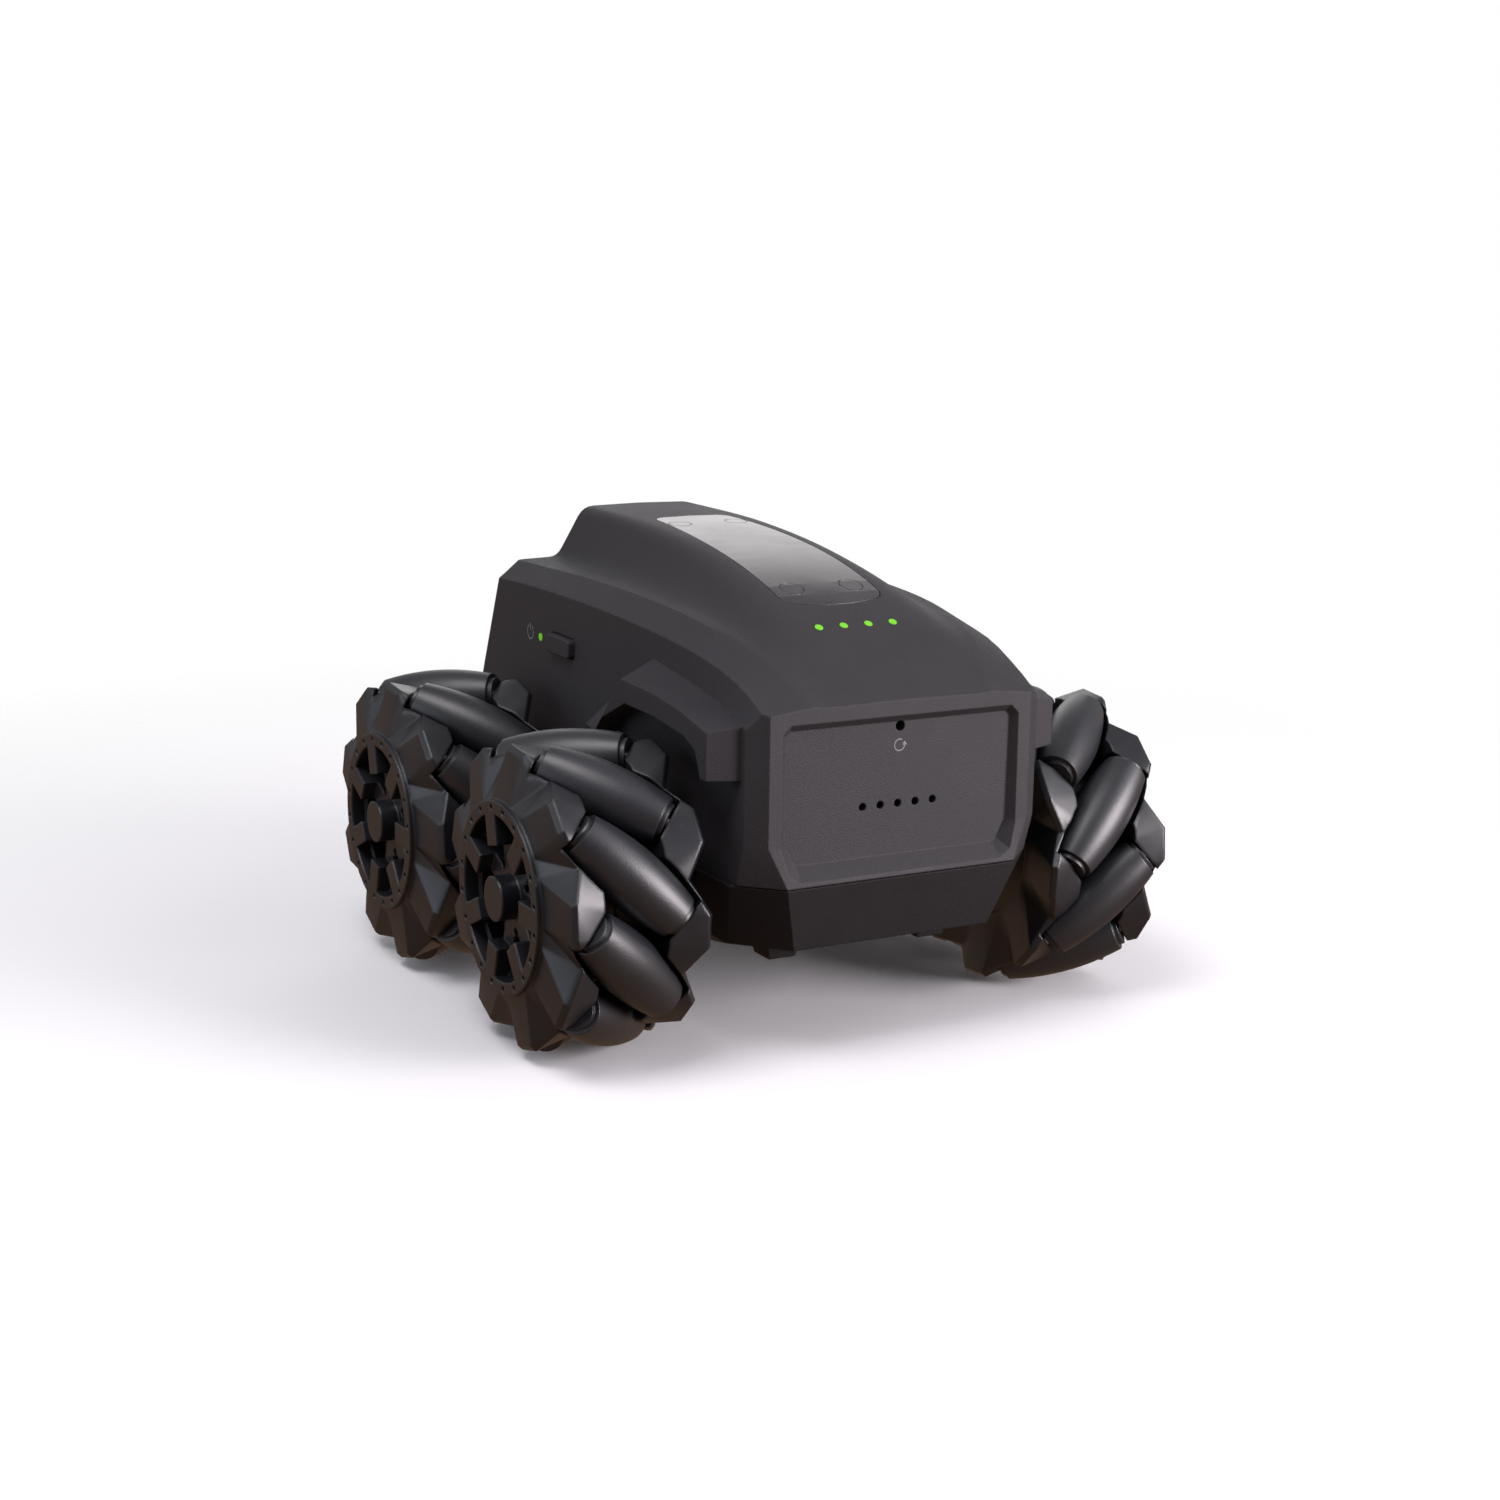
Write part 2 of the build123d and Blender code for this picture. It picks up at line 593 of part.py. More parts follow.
with BuildPart() as battery:
    with Locations((BATTERY_X, 0, FLOOR_Z + BATTERY_GAP + BATTERY_SIZE[2] / 2)):
        Box(*BATTERY_SIZE)
    fillet(battery.edges().filter_by(Axis.Y), radius=BATTERY_EDGE_R)
battery.part.label = "battery"

with BuildPart() as drive_motors:
    for x in AXLE_X.values():
        for side in (1, -1):
            with BuildSketch(Plane.XZ.offset(-side * MOTOR_Y[0])):
                with Locations((x, AXLE_Z)):
                    Circle(MOTOR_R)
            extrude(amount=-side * (MOTOR_Y[1] - MOTOR_Y[0]))
            with BuildSketch(Plane.XZ.offset(-side * GEARBOX_Y[0])):
                with Locations((x, AXLE_Z)):
                    Rectangle(GEARBOX_L, GEARBOX_H)
            extrude(amount=-side * (GEARBOX_Y[1] - GEARBOX_Y[0]))
            with BuildSketch(Plane.XZ.offset(-side * SHAFT_END_Y)):
                with Locations((x, AXLE_Z)):
                    Circle(SHAFT_R + RUN_FIT)
            extrude(amount=-side * SHAFT_BORE_L, mode=Mode.SUBTRACT)
drive_motors.part.label = "drive_motors"

with BuildPart() as case_screws:
    for x, y in POSTS:
        with BuildSketch(Plane.XY.offset(PAD_FOOT_Z + SCREW_SINK)):
            with Locations((x, y), (x, -y)):
                Circle(SCREW_HEAD_R)
        extrude(amount=SCREW_HEAD_T)
        with BuildSketch(Plane.XY.offset(PAD_FOOT_Z + SCREW_SINK)):
            with Locations((x, y), (x, -y)):
                Circle(SCREW_R - SCREW_FIT)
        extrude(amount=SCREW_L)
        with BuildSketch(Plane.XY.offset(PAD_FOOT_Z + SCREW_SINK)):
            with Locations((x, y), (x, -y)):
                RegularPolygon(HEX_R, 6)
        extrude(amount=HEX_DEPTH, mode=Mode.SUBTRACT)
case_screws.part.label = "case_screws"


# ---------------------------------------------------------------- wheels
def wheel_plane(axle_x, lift=0.0):
    """Left wheel plane: local X rearward, local Y up, normal outward."""
    return Plane(origin=(axle_x, WHEEL_Y + lift, AXLE_Z), x_dir=(-1, 0, 0), z_dir=(0, 1, 0))


def polar(radius, angle, height):
    """Point in wheel coordinates."""
    return radius * cos(radians(angle)), radius * sin(radians(angle)), height


def rim_ring(tip_r, tip_z, valley_r, valley_z, first, half):
    """One closed ring of rim points: two per lug and one per valley."""
    ring = []
    for k in range(ROLLERS):
        angle = first + k * ROLLER_PITCH
        ring.append(polar(tip_r, angle - half, tip_z))
        ring.append(polar(tip_r, angle + half, tip_z))
        ring.append(polar(valley_r, angle + ROLLER_PITCH / 2, valley_z))
    return ring


def rim_solid(side, axle_x):
    """Faceted rim half with nine lugs; side is +1 for the outer half and -1 for the inner half."""
    first = ROLLER_PHASE + side * LUG_SHIFT
    tip_z, valley_z, crown_z = RIM_HEIGHTS[side]
    inner_tip_r, face_tip_r = RIM_TIP_R - RIM_TAPER, RIM_TIP_R - RIM_CHAMFER
    face_valley_r = RIM_VALLEY_R - RIM_CHAMFER
    rings = [rim_ring(inner_tip_r, RIM_INNER_Z, RIM_VALLEY_R, RIM_INNER_Z, first, LUG_HALF)]
    rings.append(rim_ring(RIM_TIP_R, tip_z - RIM_CHAMFER, RIM_VALLEY_R, valley_z - RIM_CHAMFER, first, LUG_HALF))
    rings.append(rim_ring(face_tip_r, tip_z, face_valley_r, valley_z, first, LUG_HALF))
    rings.append(rim_ring(RING_R, crown_z, RING_R, crown_z, first, CROWN_HALF))
    rings = [[(x, y, side * z) for x, y, z in ring] for ring in rings]
    return polyhedron(rings).moved(wheel_plane(axle_x).location)


def roller_plane(axle_x, index):
    """Plane whose X runs outward through the roller and whose Y is the roller's own axis."""
    angle = radians(ROLLER_PHASE + index * ROLLER_PITCH)
    wheel = wheel_plane(axle_x)
    outward = wheel.x_dir * cos(angle) + wheel.y_dir * sin(angle)
    around = wheel.y_dir * cos(angle) - wheel.x_dir * sin(angle)
    along = (around + wheel.z_dir).normalized()
    return Plane(origin=wheel.origin + outward * ROLLER_D, x_dir=outward, z_dir=outward.cross(along))


def barrel(plane, half, grow):
    """Barrel of revolution that keeps the wheel's rolling circle, around the plane's Y axis."""
    stations = [half * k / BARREL_STEPS for k in range(-BARREL_STEPS, BARREL_STEPS + 1)]
    arc = [(AXLE_Z - sqrt(ROLLER_D**2 + s * s / 2) + grow, s) for s in stations]
    with BuildPart() as solid:
        with BuildSketch(plane):
            with BuildLine():
                Spline(*arc)
                Polyline(arc[-1], (0, half), (0, -half), arc[0])
            make_face()
        revolve(axis=Axis(plane.origin, plane.y_dir))
    return solid.part


def rod(plane, radius, low, high):
    """Round rod along the plane's Y axis."""
    with BuildPart() as solid:
        with BuildSketch(Plane(origin=plane.origin + plane.y_dir * low, z_dir=plane.y_dir)):
            Circle(radius)
        extrude(amount=high - low)
    return solid.part


def roller_part(plane):
    """Barrel roller with a short neck at each end, bored for its pin."""
    with BuildPart() as roller:
        add(barrel(plane, ROLLER_HALF, 0.0))
        add(rod(plane, NECK_R, -NECK_HALF, NECK_HALF))
        add(rod(plane, ROLLER_BORE_R, -NECK_HALF - SPARE, NECK_HALF + SPARE), mode=Mode.SUBTRACT)
    return roller.part


def roller_pockets(axle_x):
    """Clearance around all rollers, opened outward, with the bores for their pins."""
    cuts = []
    for index in range(ROLLERS):
        plane = roller_plane(axle_x, index)
        for step in (0.0, POCKET_OPEN):
            shifted = Plane(origin=plane.origin + plane.x_dir * step, x_dir=plane.x_dir, z_dir=plane.z_dir)
            cuts.append(barrel(shifted, POCKET_HALF, POCKET_GAP))
        cuts.append(rod(plane, PIN_R + PIN_FIT, -PIN_HALF, PIN_HALF))
    return cuts


def cap(plane, radius, low, high, mode=Mode.ADD):
    """Disc along the wheel axis between two heights, added to the open part."""
    with BuildSketch(plane.offset(low)) as disc:
        Circle(radius)
    extrude(disc.sketch, amount=high - low, mode=mode)


def wheel_outer_part(axle_x, pockets):
    """Outer wheel half: lugged rim, bolt ring, dished seven-spoke web and centre boss."""
    wheel = wheel_plane(axle_x)
    with BuildPart() as half:
        add(rim_solid(1, axle_x))
        cap(wheel, DRUM_R, 0, DRUM_Z)
        cap(wheel, RING_R, DRUM_Z, RING_Z)
        cap(wheel, RING_INNER_R, WEB_Z, THROUGH, Mode.SUBTRACT)
        cap(wheel, RING_INNER_R, -SPARE, WEB_Z - WEB_T, Mode.SUBTRACT)
        with BuildSketch(wheel.offset(WEB_Z)):
            with PolarLocations((RING_INNER_R + SPOKE_TOP_R + SPARE) / 2, WINDOWS):
                Rectangle(RING_INNER_R - SPOKE_TOP_R + SPARE, SPOKE_W)
        extrude(amount=RING_Z - WEB_Z)
        with BuildSketch(wheel.offset(WEB_Z - WEB_T - SPARE)):
            Circle(WINDOW_R[1])
            Circle(WINDOW_R[0], mode=Mode.SUBTRACT)
            with PolarLocations(sum(WINDOW_R) / 2, WINDOWS):
                Rectangle(WINDOW_R[1], SPOKE_W, mode=Mode.SUBTRACT)
            with PolarLocations(KEYHOLE_AT, WINDOWS, start_angle=180 / WINDOWS):
                Circle(KEYHOLE_R)
        extrude(amount=WEB_T + 2 * SPARE, mode=Mode.SUBTRACT)
        cap(wheel, HUB_R, 0, WEB_Z)
        cap(wheel, BOSS_R, WEB_Z, BOSS_Z)
        with BuildSketch(wheel.offset(RING_Z - DOT_DEPTH)):
            with PolarLocations((RING_R + RING_INNER_R) / 2, RING_DOTS, start_angle=180 / RING_DOTS):
                RegularPolygon(DOT_R, DOT_SIDES)
        extrude(amount=2 * DOT_DEPTH, mode=Mode.SUBTRACT)
        cap(wheel, SHAFT_R + PIN_FIT, -SPARE, SHAFT_OUT, Mode.SUBTRACT)
        for cut in pockets:
            add(cut, mode=Mode.SUBTRACT)
    return half.part


def wheel_inner_part(axle_x, pockets):
    """Inner wheel half: lugged rim, closed dished disc and hub sleeve."""
    wheel = wheel_plane(axle_x)
    with BuildPart() as half:
        add(rim_solid(-1, axle_x))
        cap(wheel, DRUM_R, -DRUM_Z, 0)
        cap(wheel, RING_INNER_R, -INNER_WEB_Z[0], SPARE, Mode.SUBTRACT)
        cap(wheel, RING_INNER_R, -THROUGH, -INNER_WEB_Z[1], Mode.SUBTRACT)
        cap(wheel, HUB_R, -INNER_HUB_Z, 0)
        cap(wheel, SHAFT_R + PIN_FIT, -THROUGH, SPARE, Mode.SUBTRACT)
        for cut in pockets:
            add(cut, mode=Mode.SUBTRACT)
    return half.part


def wheel_pins_part(axle_x):
    """Nine roller pins and the drive shaft of one wheel, as separate rods."""
    with BuildPart() as pins:
        for index in range(ROLLERS):
            add(rod(roller_plane(axle_x, index), PIN_R, PIN_END_GAP - PIN_HALF, PIN_HALF - PIN_END_GAP))
        wheel = wheel_plane(axle_x)
        cap(wheel, SHAFT_R, SHAFT_END_Y + SHAFT_END_GAP - WHEEL_Y, SHAFT_OUT - PIN_END_GAP)
    return pins.part


def export(part, label):
    """Label one finished piece and write it."""
    part.label = label
    export_step(part, f"parts/{label}.step")


rear_x = AXLE_X["r"]
pockets = roller_pockets(rear_x)
wheel_parts = {
    "wheel_outer": wheel_outer_part(rear_x, pockets),
    "wheel_inner": wheel_inner_part(rear_x, pockets),
    "wheel_pins": wheel_pins_part(rear_x),
}
roller_parts = [roller_part(roller_plane(rear_x, index)) for index in range(ROLLERS)]

for end, axle_x in AXLE_X.items():
    shift = Location((axle_x - rear_x, 0, 0))
    for side in ("l", "r"):
        pieces = dict(wheel_parts)
        for index, roller in enumerate(roller_parts):
            pieces[f"roller_{index + 1}"] = roller
        for name, piece in pieces.items():
            placed = piece.moved(shift)
            if side == "r":
                placed = mirror(placed, about=Plane.XZ)
            export(placed, f"{name}_{end}{side}")

for body_part in (
    upper_shell, lower_shell, top_lid, power_button, status_lights, charge_contacts,
    camera_window, camera_module, circuit_board, battery, drive_motors, case_screws,
):
    export_step(body_part.part, f"parts/{body_part.part.label}.step")
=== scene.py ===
import bpy
from math import cos, radians, sin
from mathutils import Matrix, Vector


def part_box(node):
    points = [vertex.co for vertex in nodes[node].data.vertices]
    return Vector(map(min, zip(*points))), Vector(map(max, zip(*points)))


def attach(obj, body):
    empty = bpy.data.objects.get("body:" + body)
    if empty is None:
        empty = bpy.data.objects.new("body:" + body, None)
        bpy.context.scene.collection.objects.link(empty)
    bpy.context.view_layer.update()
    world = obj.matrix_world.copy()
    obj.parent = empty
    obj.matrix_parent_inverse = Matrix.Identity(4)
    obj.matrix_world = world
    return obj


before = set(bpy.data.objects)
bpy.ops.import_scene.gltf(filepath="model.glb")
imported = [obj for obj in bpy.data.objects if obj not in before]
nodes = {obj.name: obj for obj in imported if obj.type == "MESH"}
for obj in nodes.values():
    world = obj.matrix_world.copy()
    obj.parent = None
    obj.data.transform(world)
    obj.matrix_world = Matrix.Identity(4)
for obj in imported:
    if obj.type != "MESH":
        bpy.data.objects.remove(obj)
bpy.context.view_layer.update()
MM = 0.001

# ---------------------------------------------------------------- driving values
NOISE_ROUGHNESS = 0.6
NOISE_RANGE = (0.3, 0.7)  # the part of a noise's output that carries its pattern
PATCH_DETAIL = 4.0
GRAIN_DETAIL = 2.0
GRAIN_HEIGHT = 0.12 * MM
BEVEL_SAMPLES = 6

WELD_DISTANCE = 0.002 * MM
EDGE_ANGLE = 28  # degrees; edges sharper than this stay sharp
SHELL_EDGE_ANGLE = 24
FACE_WEIGHT = 60

PRINT_LIFT = 0.02 * MM
ARC_STEPS = 40
POWER_FROM_BUTTON = (12.7 * MM, 0.2 * MM)  # forward and up from the middle of the button
BUTTON_PROUD = 1.1 * MM
POWER_R = 1.15 * MM
POWER_LINE = 0.22 * MM
POWER_SWEEP = (120, 420)  # degrees
POWER_BAR = (0.3 * MM, 1.5 * MM)  # foot and top above the middle of the ring
RESET_OVER_CONTACTS = 8.6 * MM
CONTACT_SET = 1.1 * MM  # the contacts lie this far behind the face of the recess
RESET_R = 0.85 * MM
RESET_LINE = 0.18 * MM
RESET_SWEEP = (60, 360)
RESET_HEAD = (0.42 * MM, -0.05 * MM, 0.55 * MM)  # half width, foot and tip of the arrowhead

FLOOR_SIZE = 3.0
FLOOR_DROP = 0.2 * MM
FLOOR_FADE = (0.09, 0.27)  # metres from the middle, from solid to clear


# ---------------------------------------------------------------- materials
def link(tree, output, socket):
    tree.links.new(output, socket)


def noise(tree, coords, scale, detail):
    """Fractal noise over the given coordinates."""
    node = tree.nodes.new("ShaderNodeTexNoise")
    node.inputs["Scale"].default_value = scale
    node.inputs["Detail"].default_value = detail
    node.inputs["Roughness"].default_value = NOISE_ROUGHNESS
    link(tree, coords, node.inputs["Vector"])
    return node.outputs["Fac"]


def ranged(tree, value, first, last, start=NOISE_RANGE[0], end=NOISE_RANGE[1]):
    """Value that goes from first to last while the input goes from start to end."""
    node = tree.nodes.new("ShaderNodeMapRange")
    node.inputs["From Min"].default_value = start
    node.inputs["From Max"].default_value = end
    node.inputs["To Min"].default_value = first
    node.inputs["To Max"].default_value = last
    link(tree, value, node.inputs["Value"])
    return node.outputs["Result"]


def tone(tree, value, dark, light):
    """Colour between a dark and a light tone."""
    ramp = tree.nodes.new("ShaderNodeValToRGB")
    for stop, position, color in zip(ramp.color_ramp.elements, NOISE_RANGE, (dark, light)):
        stop.position = position
        stop.color = (*color, 1)
    link(tree, value, ramp.inputs["Fac"])
    return ramp.outputs["Color"]


def finish_material(name, dark, light, rough, grain, bump, patch=60.0, bevel=0.15, metal=0.0,
                    spec=0.5, glow=None):
    """Procedural finish: patchy tone, varied roughness, fine grain bump and softened edges.

    patch and grain are noise scales, bevel is in millimetres, glow is a colour and a strength.
    """
    mat = bpy.data.materials.new(name)
    mat.use_nodes = True
    tree = mat.node_tree
    shader = tree.nodes["Principled BSDF"]
    coords = tree.nodes.new("ShaderNodeTexCoord").outputs["Object"]
    broad = noise(tree, coords, patch, PATCH_DETAIL)
    fine = noise(tree, coords, grain, GRAIN_DETAIL)
    link(tree, tone(tree, broad, dark, light), shader.inputs["Base Color"])
    link(tree, ranged(tree, broad, rough[0], rough[1]), shader.inputs["Roughness"])
    shader.inputs["Metallic"].default_value = metal
    shader.inputs["Specular IOR Level"].default_value = spec
    relief = tree.nodes.new("ShaderNodeBump")
    relief.inputs["Strength"].default_value = bump
    relief.inputs["Distance"].default_value = GRAIN_HEIGHT
    link(tree, fine, relief.inputs["Height"])
    if bevel:
        soft = tree.nodes.new("ShaderNodeBevel")
        soft.samples = BEVEL_SAMPLES
        soft.inputs["Radius"].default_value = bevel * MM
        link(tree, soft.outputs["Normal"], relief.inputs["Normal"])
    link(tree, relief.outputs["Normal"], shader.inputs["Normal"])
    if glow:
        shader.inputs["Emission Color"].default_value = (*glow[0], 1)
        shader.inputs["Emission Strength"].default_value = glow[1]
    return mat


SHELL = finish_material(
    "shell_texture", (0.0190, 0.0172, 0.0205), (0.0240, 0.0220, 0.0260), (0.60, 0.70),
    grain=6000, bump=0.5, bevel=0.3, spec=0.45)
BASE = finish_material(
    "base_texture", (0.0060, 0.0052, 0.0062), (0.0085, 0.0074, 0.0088), (0.60, 0.70),
    grain=6000, bump=0.5, bevel=0.3, spec=0.32)
LID = finish_material(
    "lid_satin", (0.017, 0.0155, 0.0172), (0.021, 0.019, 0.021), (0.24, 0.30),
    grain=3200, bump=0.06, bevel=0.1, spec=0.70)
WHEEL = finish_material(
    "wheel_plastic", (0.0065, 0.0075, 0.0105), (0.0095, 0.0105, 0.014), (0.34, 0.43),
    grain=2600, bump=0.10, bevel=0.55, spec=0.68)
ROLLER = finish_material(
    "roller_rubber", (0.0095, 0.0100, 0.0130), (0.0135, 0.0145, 0.0185), (0.38, 0.46),
    grain=3000, bump=0.16, bevel=0.25, spec=0.75)
STEEL = finish_material(
    "turned_steel", (0.35, 0.35, 0.36), (0.5, 0.5, 0.5), (0.22, 0.35),
    grain=1500, bump=0.1, metal=1.0)
LED = finish_material(
    "led_green", (0.10, 0.34, 0.01), (0.13, 0.42, 0.02), (0.3, 0.4),
    grain=2000, bump=0.05, bevel=0, glow=((0.20, 0.80, 0.02), 0.30))
CONTACT = finish_material(
    "contact_metal", (0.006, 0.005, 0.004), (0.010, 0.008, 0.006), (0.3, 0.45),
    grain=1800, bump=0.1, metal=0.6)
WINDOW = finish_material(
    "window_gloss", (0.004, 0.004, 0.005), (0.007, 0.007, 0.008), (0.05, 0.10),
    grain=1200, bump=0.02, bevel=0.2)
CAMERA = finish_material(
    "camera_black", (0.012, 0.012, 0.013), (0.02, 0.02, 0.022), (0.3, 0.45), grain=1800, bump=0.12)
BOARD = finish_material(
    "board_green", (0.012, 0.09, 0.03), (0.02, 0.13, 0.045), (0.35, 0.5), grain=900, bump=0.15)
BATTERY = finish_material(
    "battery_wrap", (0.02, 0.05, 0.16), (0.03, 0.07, 0.21), (0.28, 0.4), grain=700, bump=0.15)
MOTOR = finish_material(
    "motor_yellow", (0.45, 0.30, 0.03), (0.55, 0.38, 0.05), (0.4, 0.5), grain=1500, bump=0.15)
PRINT = finish_material(
    "grey_print", (0.16, 0.16, 0.17), (0.20, 0.20, 0.21), (0.5, 0.6), grain=2500, bump=0.2, bevel=0)
FLOOR = finish_material(
    "studio_floor", (0.93, 0.93, 0.94), (0.95, 0.95, 0.96), (0.75, 0.85),
    grain=90, bump=0.02, patch=3.0, bevel=0, spec=0.1)

NODE_LOOKS = {
    "upper_shell": SHELL,
    "lower_shell": BASE,
    "top_lid": LID,
    "power_button": SHELL,
    "status_lights": LED,
    "charge_contacts": CONTACT,
    "camera_window": WINDOW,
    "camera_module": CAMERA,
    "circuit_board": BOARD,
    "battery": BATTERY,
    "drive_motors": MOTOR,
    "case_screws": STEEL,
}


def look_of(name):
    """Material of a CAD node: its own, or its kind's for the pieces of a wheel."""
    if name in NODE_LOOKS:
        return NODE_LOOKS[name]
    if name.startswith("roller_"):
        return ROLLER
    if name.startswith("wheel_pins"):
        return STEEL
    return WHEEL


# ---------------------------------------------------------------- CAD nodes
def shade_smooth_nodes():
    """Modifier tree that shades every face smooth; the mesh itself stays as it is."""
    tree = bpy.data.node_groups.new("shade_smooth", "GeometryNodeTree")
    tree.interface.new_socket("Geometry", in_out="INPUT", socket_type="NodeSocketGeometry")
    tree.interface.new_socket("Geometry", in_out="OUTPUT", socket_type="NodeSocketGeometry")
    smooth = tree.nodes.new("GeometryNodeSetShadeSmooth")
    link(tree, tree.nodes.new("NodeGroupInput").outputs["Geometry"], smooth.inputs["Geometry"])
    link(tree, smooth.outputs["Geometry"], tree.nodes.new("NodeGroupOutput").inputs["Geometry"])
    return tree


SHADE_SMOOTH = shade_smooth_nodes()


def finish_node(obj, mat, angle):
    """CAD node with its own finish, welded and smoothed below the given edge angle by modifiers."""
    for slot in obj.material_slots:
        slot.material = mat
    obj.modifiers.new("smooth", "NODES").node_group = SHADE_SMOOTH
    weld = obj.modifiers.new("weld", "WELD")
    weld.merge_threshold = WELD_DISTANCE
    split = obj.modifiers.new("split", "EDGE_SPLIT")
    split.split_angle = radians(angle)
    split.use_edge_sharp = False
    weighted = obj.modifiers.new("weighted", "WEIGHTED_NORMAL")
    weighted.weight = FACE_WEIGHT
    weighted.keep_sharp = True


for name, obj in nodes.items():
    finish_node(obj, look_of(name), SHELL_EDGE_ANGLE if name == "upper_shell" else EDGE_ANGLE)


# ---------------------------------------------------------------- printed symbols
def printed_piece(name, verts, faces, body):
    """Thin printed mesh that rides on the given body."""
    mesh = bpy.data.meshes.new(name)
    mesh.from_pydata([tuple(v) for v in verts], [], faces)
    mesh.update()
    obj = bpy.data.objects.new(name, mesh)
    bpy.context.scene.collection.objects.link(obj)
    mesh.materials.append(PRINT)
    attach(obj, body)


def printed_arc(name, centre, across, up, radius, width, sweep, body):
    """Arc band on the face through centre; its sweep in degrees is counted from across to up."""
    normal = across.cross(up)
    start, end = sweep
    inner, outer = radius - width / 2, radius + width / 2
    verts, faces = [], []
    for k in range(ARC_STEPS + 1):
        angle = radians(start + (end - start) * k / ARC_STEPS)
        ray = across * cos(angle) + up * sin(angle)
        for r, height in ((inner, 0), (outer, 0), (outer, PRINT_LIFT), (inner, PRINT_LIFT)):
            verts.append(centre + ray * r + normal * height)
    for k in range(ARC_STEPS):
        a, b = 4 * k, 4 * k + 4
        for i in range(4):
            j = (i + 1) % 4
            faces.append((a + i, a + j, b + j, b + i))
    last = 4 * ARC_STEPS
    faces += [(3, 2, 1, 0), (last, last + 1, last + 2, last + 3)]
    printed_piece(name, verts, faces, body)


def printed_patch(name, centre, across, up, outline, body):
    """Flat patch on the face through centre, with its outline as distances across and up."""
    normal = across.cross(up)
    corners = [centre + across * a + up * u for a, u in outline]
    count = len(corners)
    verts = corners + [corner + normal * PRINT_LIFT for corner in corners]
    faces = [tuple(reversed(range(count))), tuple(range(count, 2 * count))]
    faces += [(i, (i + 1) % count, (i + 1) % count + count, i + count) for i in range(count)]
    printed_piece(name, verts, faces, body)


UP = Vector((0, 0, 1))
REARWARD = Vector((-1, 0, 0))
TO_RIGHT = Vector((0, -1, 0))

button_low, button_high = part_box("power_button")
button_middle = (button_low + button_high) / 2
forward, above_middle = POWER_FROM_BUTTON
power_middle = Vector((
    button_middle.x + forward, button_high.y - BUTTON_PROUD, button_middle.z + above_middle))
half_line = POWER_LINE / 2
bar_foot, bar_top = POWER_BAR
bar = [(-half_line, bar_foot), (half_line, bar_foot), (half_line, bar_top), (-half_line, bar_top)]
printed_arc(
    "power_symbol_ring", power_middle, REARWARD, UP, POWER_R, POWER_LINE, POWER_SWEEP, "chassis")
printed_patch("power_symbol_bar", power_middle, REARWARD, UP, bar, "chassis")

contacts_low, contacts_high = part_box("charge_contacts")
contacts_z = (contacts_low.z + contacts_high.z) / 2
reset_middle = Vector((contacts_low.x - CONTACT_SET, 0, contacts_z + RESET_OVER_CONTACTS))
head_half, head_foot, head_tip = RESET_HEAD
arc_end = reset_middle + TO_RIGHT * RESET_R
head = [(-head_half, head_foot), (head_half, head_foot), (0, head_tip)]
printed_arc(
    "reset_symbol_arc", reset_middle, TO_RIGHT, UP, RESET_R, RESET_LINE, RESET_SWEEP, "chassis")
printed_patch("reset_symbol_head", arc_end, TO_RIGHT, UP, head, "chassis")


# ---------------------------------------------------------------- studio
def fade_out(mat, near, far):
    """Floor material that turns clear between two distances from the middle."""
    tree = mat.node_tree
    solid = tree.nodes["Principled BSDF"].outputs["BSDF"]
    place = tree.nodes.new("ShaderNodeTexCoord").outputs["Object"]
    distance = tree.nodes.new("ShaderNodeVectorMath")
    distance.operation = "LENGTH"
    link(tree, place, distance.inputs[0])
    clear = tree.nodes.new("ShaderNodeBsdfTransparent").outputs["BSDF"]
    blend = tree.nodes.new("ShaderNodeMixShader")
    link(tree, ranged(tree, distance.outputs["Value"], 0.0, 1.0, near, far), blend.inputs["Fac"])
    link(tree, solid, blend.inputs[1])
    link(tree, clear, blend.inputs[2])
    link(tree, blend.outputs["Shader"], tree.nodes["Material Output"].inputs["Surface"])


fade_out(FLOOR, *FLOOR_FADE)
bpy.ops.mesh.primitive_plane_add(size=FLOOR_SIZE, location=(0, 0, -FLOOR_DROP))
floor = bpy.context.object
floor.name = "studio_floor"
floor.data.materials.append(FLOOR)
floor.visible_diffuse = False
floor.visible_glossy = False
floor.visible_shadow = False


def softbox(name, place, aim_height, size, power, color):
    """Rectangular area light that faces the object at the given height."""
    lamp = bpy.data.lights.new(name, "AREA")
    lamp.shape = "RECTANGLE"
    lamp.size, lamp.size_y = size
    lamp.energy = power
    lamp.color = color
    obj = bpy.data.objects.new(name, lamp)
    bpy.context.scene.collection.objects.link(obj)
    obj.location = place
    aim = Vector((0, 0, aim_height))
    obj.rotation_euler = (aim - Vector(place)).to_track_quat("-Z", "Y").to_euler()


# name, place, aim height and size in metres, power in watts, colour
LIGHTS = [
    ("top_softbox", (-0.12, 0.26, 0.55), 0.03, (0.34, 0.26), 1.85, (1.0, 0.96, 0.99)),
    ("rear_softbox", (-0.52, -0.40, 0.17), 0.04, (0.36, 0.30), 6.2, (1.0, 0.93, 0.97)),
    ("front_softbox", (0.58, -0.34, 0.30), 0.06, (0.45, 0.40), 0.85, (1.0, 0.98, 0.97)),
    ("right_softbox", (-0.30, -0.42, 0.42), 0.04, (0.50, 0.40), 0.7, (0.97, 0.96, 1.0)),
    ("left_fill", (0.05, 0.58, 0.16), 0.03, (0.5, 0.3), 0.75, (0.80, 0.87, 1.0)),
]
for light in LIGHTS:
    softbox(*light)

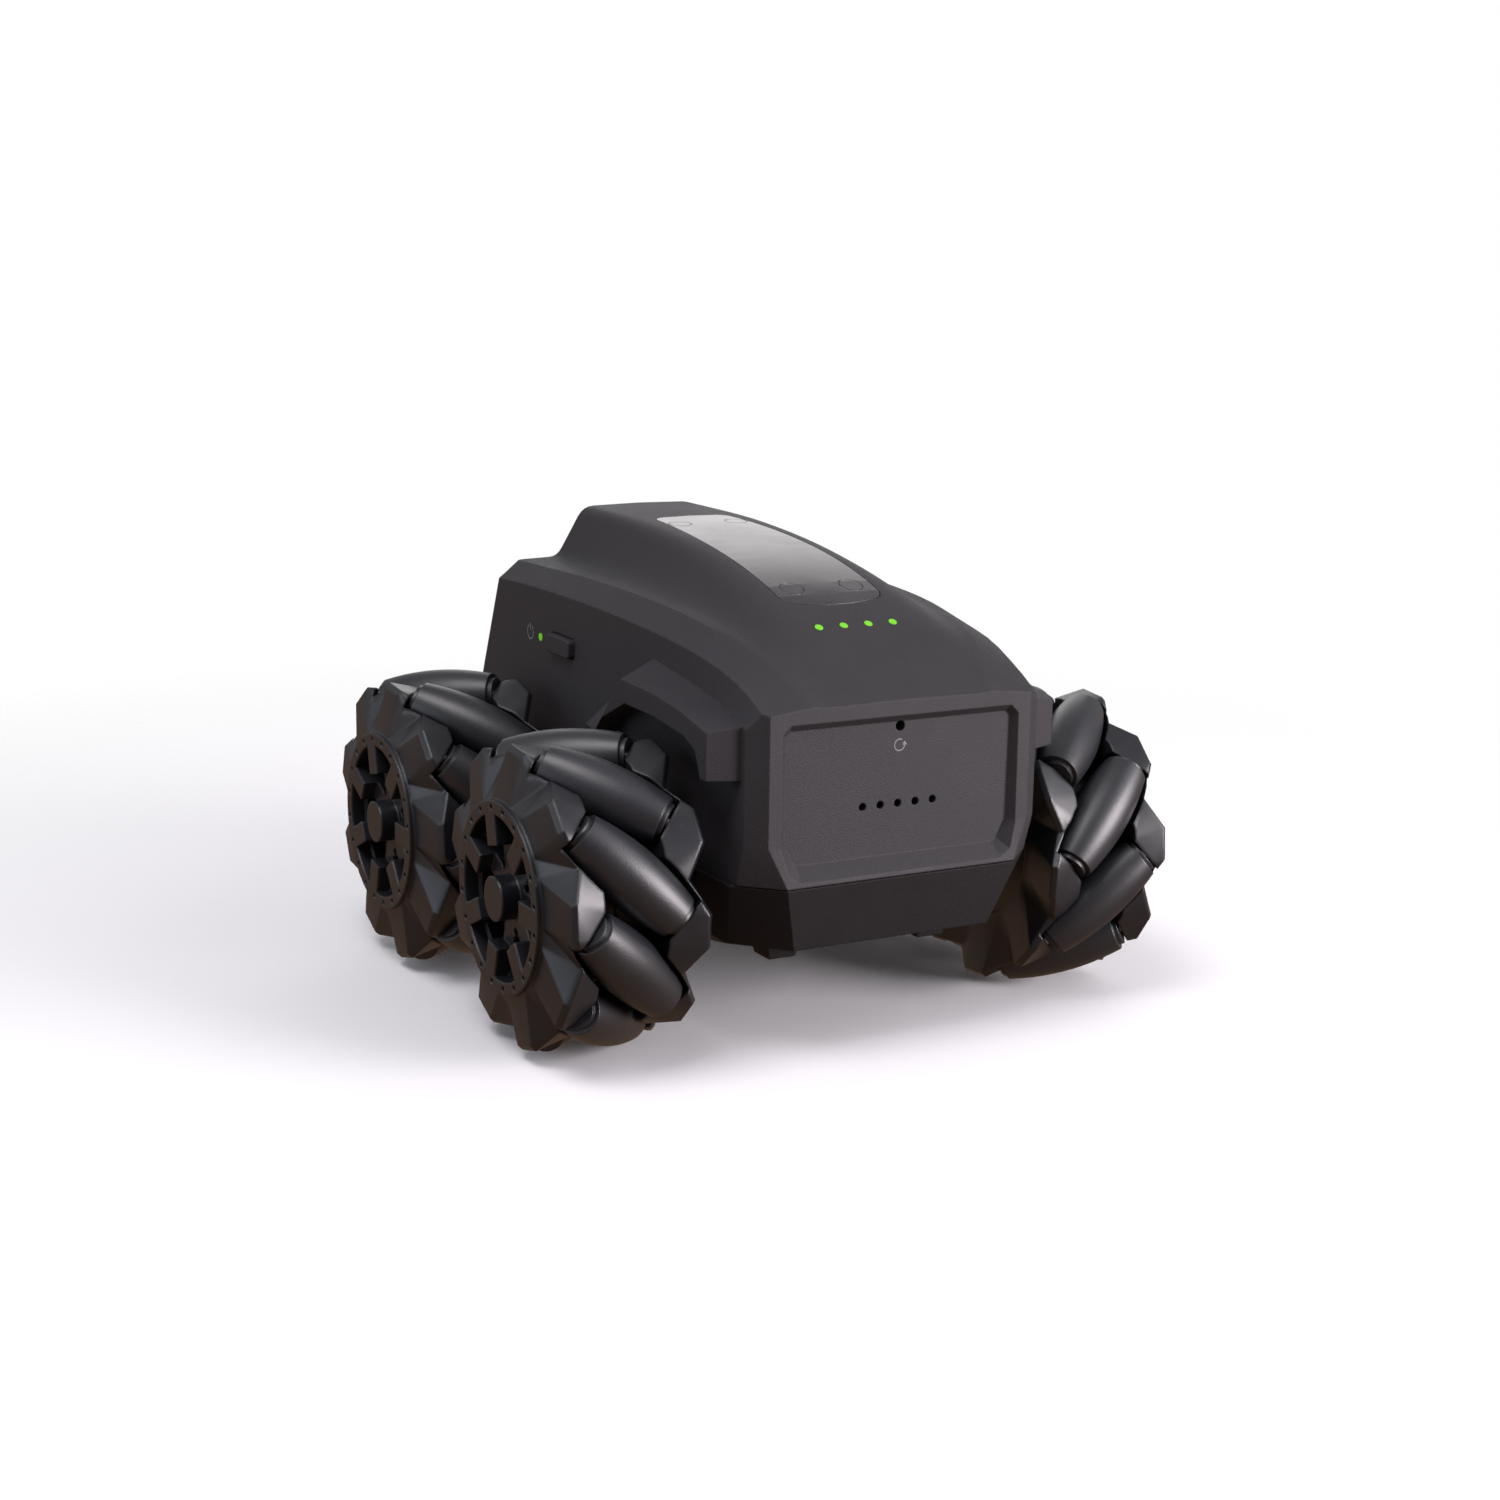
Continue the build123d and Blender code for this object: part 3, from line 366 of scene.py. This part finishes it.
ROOM_LEFT = (0.038, 0.048, 0.075)
ROOM_RIGHT = (0.22, 0.21, 0.22)
ROOM_FRONT = (0.42, 0.42, 0.43)
ROOM_CEILING = (0.36, 0.35, 0.37)
ROOM_TABLE = (0.24, 0.150, 0.100)
# where each blend of the room starts and ends, as a part of the direction looked at
SIDE_BAND = (-0.8, 0.2)
FRONT_BAND = (0.0, 0.7)
CEILING_BAND = (0.10, 0.80)
TABLE_BAND = (-0.12, 0.10)


def sky_blend(tree, amount, first, second):
    """Colour that goes from the first to the second input as amount goes from 0 to 1."""
    node = tree.nodes.new("ShaderNodeMix")
    node.data_type = "RGBA"
    link(tree, amount, node.inputs["Factor"])
    for value, socket in ((first, node.inputs[6]), (second, node.inputs[7])):
        if isinstance(value, tuple):
            socket.default_value = (*value, 1)
        else:
            link(tree, value, socket)
    return node.outputs[2]


def studio_world():
    """Soft light room above and in front, dim blue to the left, brown below; plain white behind."""
    world = bpy.data.worlds.new("studio")
    bpy.context.scene.world = world
    world.use_nodes = True
    tree = world.node_tree
    axes = tree.nodes.new("ShaderNodeSeparateXYZ")
    link(tree, tree.nodes.new("ShaderNodeTexCoord").outputs["Generated"], axes.inputs["Vector"])
    x, y, z = axes.outputs
    sides = sky_blend(tree, ranged(tree, y, 1.0, 0.0, *SIDE_BAND), ROOM_LEFT, ROOM_RIGHT)
    level = sky_blend(tree, ranged(tree, x, 0.0, 1.0, *FRONT_BAND), sides, ROOM_FRONT)
    above = sky_blend(tree, ranged(tree, z, 0.0, 1.0, *CEILING_BAND), level, ROOM_CEILING)
    whole = sky_blend(tree, ranged(tree, z, 0.0, 1.0, *TABLE_BAND), ROOM_TABLE, above)
    light = tree.nodes["Background"]
    link(tree, whole, light.inputs["Color"])
    light.inputs["Strength"].default_value = 1.0
    backdrop = tree.nodes.new("ShaderNodeBackground")
    backdrop.inputs["Color"].default_value = (1, 1, 1, 1)
    blend = tree.nodes.new("ShaderNodeMixShader")
    link(tree, tree.nodes.new("ShaderNodeLightPath").outputs["Is Camera Ray"], blend.inputs["Fac"])
    link(tree, light.outputs["Background"], blend.inputs[1])
    link(tree, backdrop.outputs["Background"], blend.inputs[2])
    link(tree, blend.outputs["Shader"], tree.nodes["World Output"].inputs["Surface"])


studio_world()
bpy.context.scene.view_settings.view_transform = "Standard"

# ---------------------------------------------------------------- camera
AZIMUTH, ELEVATION, ROLL = radians(-119.06), radians(12.81), radians(1.16)
TARGET = Vector((-3.63, -1.45, 35.34)) * MM
DISTANCE = 394.65 * MM
LENS = 58.95
SENSOR = 36
CLIP_START = 0.01

back = Vector((sin(AZIMUTH) * cos(ELEVATION), -cos(AZIMUTH) * cos(ELEVATION), sin(ELEVATION)))
right = Vector((cos(AZIMUTH), sin(AZIMUTH), 0))
upward = back.cross(right)
rolled_right = right * cos(ROLL) + upward * sin(ROLL)
rolled_up = upward * cos(ROLL) - right * sin(ROLL)
camera_data = bpy.data.cameras.new("camera")
camera_data.lens = LENS
camera_data.sensor_width = SENSOR
camera_data.clip_start = CLIP_START
camera = bpy.data.objects.new("camera", camera_data)
bpy.context.scene.collection.objects.link(camera)
turn = Matrix((rolled_right, rolled_up, back)).transposed().to_4x4()
camera.matrix_world = Matrix.Translation(TARGET + back * DISTANCE) @ turn
bpy.context.scene.camera = camera
